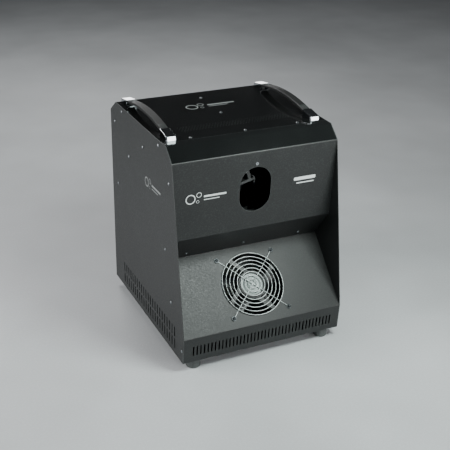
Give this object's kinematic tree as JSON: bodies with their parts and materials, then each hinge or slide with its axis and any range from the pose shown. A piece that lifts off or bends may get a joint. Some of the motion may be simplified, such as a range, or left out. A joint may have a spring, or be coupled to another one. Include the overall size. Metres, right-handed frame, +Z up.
{
  "type": "fog machine",
  "caption": "Sheet-steel bubble and fog machine on rubber feet, with strap handles, a guarded slanted fan, a bubble outlet and a rear service door.",
  "frame": {"origin": "on the floor under the middle of the whole machine", "axes": "+Z up, -Y towards the front with the fan and the outlet, +X to the right seen from the front"},
  "size_m": [0.4548, 0.526, 0.6],
  "materials": {
    "powder_coat": "fine-textured black powder coat",
    "zinc_sheet": "zinc-plated sheet",
    "bright_chrome": "bright nickel-chrome plate",
    "zinc_steel": "zinc plate",
    "grip_rubber": "satin black strap",
    "foot_rubber": "matt black rubber",
    "fan_casting": "raw die casting",
    "fan_plastic": "black moulding",
    "wand_plastic": "grey moulding",
    "trough_plastic": "black moulding",
    "motor_can": "drawn steel can",
    "heater_metal": "cast heater block",
    "pipe_metal": "drawn tube",
    "hose_plastic": "clear-grey hose",
    "tank_plastic": "natural polyethylene",
    "cap_plastic": "red moulding",
    "board": "green circuit board",
    "screen": "dark display window",
    "black_plastic": "black moulding",
    "rocker_red": "red moulding"
  },
  "bodies": {
    "cabinet": {"base_tray": "powder_coat", "blower_bracket": "zinc_sheet", "blower_housing": "trough_plastic", "blower_motor": "motor_can", "bubble_hose": "hose_plastic", "bubble_tank": "tank_plastic", "bubble_trough": "trough_plastic", "cabinet_screws": "bright_chrome", "control_board": "board", "data_sockets": "black_plastic", "display_window": "screen", "door_hinge_fixed_leaf": "zinc_steel", "door_hinge_pin": "zinc_steel", "equipment_shelf": "zinc_sheet", "fan_frame": "fan_casting", "fan_guard": "bright_chrome", "fan_panel": "powder_coat", "fog_heater": "heater_metal", "fog_hose": "hose_plastic", "fog_pipe": "pipe_metal", "fog_pump": "motor_can", "fog_tank": "tank_plastic", "foot_front_left": "foot_rubber", "foot_front_right": "foot_rubber", "foot_rear_left": "foot_rubber", "foot_rear_right": "foot_rubber", "foot_screws": "zinc_steel", "front_panel": "powder_coat", "guard_screws": "bright_chrome", "handle_caps_left": "bright_chrome", "handle_caps_right": "bright_chrome", "handle_grip_left": "grip_rubber", "handle_grip_right": "grip_rubber", "handle_screws": "zinc_steel", "left_side_panel": "powder_coat", "mains_inlet": "black_plastic", "outlet_screw": "bright_chrome", "power_board": "board", "rear_panel": "powder_coat", "right_side_panel": "powder_coat", "roof_panel": "powder_coat", "side_panel_nuts": "zinc_steel", "side_panel_screws": "bright_chrome", "switch_frame": "black_plastic", "wheel_motor": "motor_can", "wheel_stand": "zinc_sheet"},
    "fan_rotor": {"fan_rotor": "fan_plastic"},
    "bubble_wheel": {"bubble_wheel": "wand_plastic"},
    "blower_impeller": {"blower_impeller": "fan_plastic"},
    "service_door": {"service_door": "powder_coat", "door_hinge_moving_leaf": "zinc_steel"},
    "door_latch": {"latch_knob": "bright_chrome", "latch_cam": "zinc_steel"},
    "switch_rocker": {"switch_rocker": "rocker_red"},
    "button_1": {"control_button_1": "black_plastic"},
    "button_2": {"control_button_2": "black_plastic"},
    "button_3": {"control_button_3": "black_plastic"},
    "button_4": {"control_button_4": "black_plastic"},
    "bubble_tank_cap": {"bubble_tank_cap": "cap_plastic"},
    "fog_tank_cap": {"fog_tank_cap": "cap_plastic"}
  },
  "joints": [
    {"name": "fan_spin", "type": "hinge", "parent": "cabinet", "child": "fan_rotor", "pos_m": [0, -0.188, 0.1725], "axis": [0, -0.7047, 0.7095], "continuous": true},
    {"name": "wheel_spin", "type": "hinge", "parent": "cabinet", "child": "bubble_wheel", "pos_m": [-0.0795, -0.136, 0.423], "axis": [0, -1, 0], "continuous": true},
    {"name": "blower_spin", "type": "hinge", "parent": "cabinet", "child": "blower_impeller", "pos_m": [-0.01, -0.035, 0.422], "axis": [1, 0, 0], "continuous": true},
    {"name": "door_swing", "type": "hinge", "parent": "cabinet", "child": "service_door", "pos_m": [-0.16, 0.2546, 0.1395], "axis": [0, 0, 1], "range_deg": [0, 110]},
    {"name": "latch_turn", "type": "hinge", "parent": "service_door", "child": "door_latch", "pos_m": [0.112, 0.251, 0.1395], "axis": [0, -1, 0], "range_deg": [0, 90]},
    {"name": "power_rocker", "type": "hinge", "parent": "cabinet", "child": "switch_rocker", "pos_m": [-0.15, 0.249, 0.422], "axis": [1, 0, 0], "range_deg": [0, 16]},
    {"name": "press_button_1", "type": "slide", "parent": "cabinet", "child": "button_1", "axis": [0, -1, 0], "range_m": [0, 0.0012], "stiffness_N_per_m": 300},
    {"name": "press_button_2", "type": "slide", "parent": "cabinet", "child": "button_2", "axis": [0, -1, 0], "range_m": [0, 0.0012], "stiffness_N_per_m": 300},
    {"name": "press_button_3", "type": "slide", "parent": "cabinet", "child": "button_3", "axis": [0, -1, 0], "range_m": [0, 0.0012], "stiffness_N_per_m": 300},
    {"name": "press_button_4", "type": "slide", "parent": "cabinet", "child": "button_4", "axis": [0, -1, 0], "range_m": [0, 0.0012], "stiffness_N_per_m": 300},
    {"name": "bubble_cap_turn", "type": "hinge", "parent": "cabinet", "child": "bubble_tank_cap", "pos_m": [-0.078, 0.157, 0.192], "axis": [0, 0, 1], "range_deg": [0, 360]},
    {"name": "fog_cap_turn", "type": "hinge", "parent": "cabinet", "child": "fog_tank_cap", "pos_m": [0.062, 0.157, 0.192], "axis": [0, 0, 1], "range_deg": [0, 360]}
  ]
}
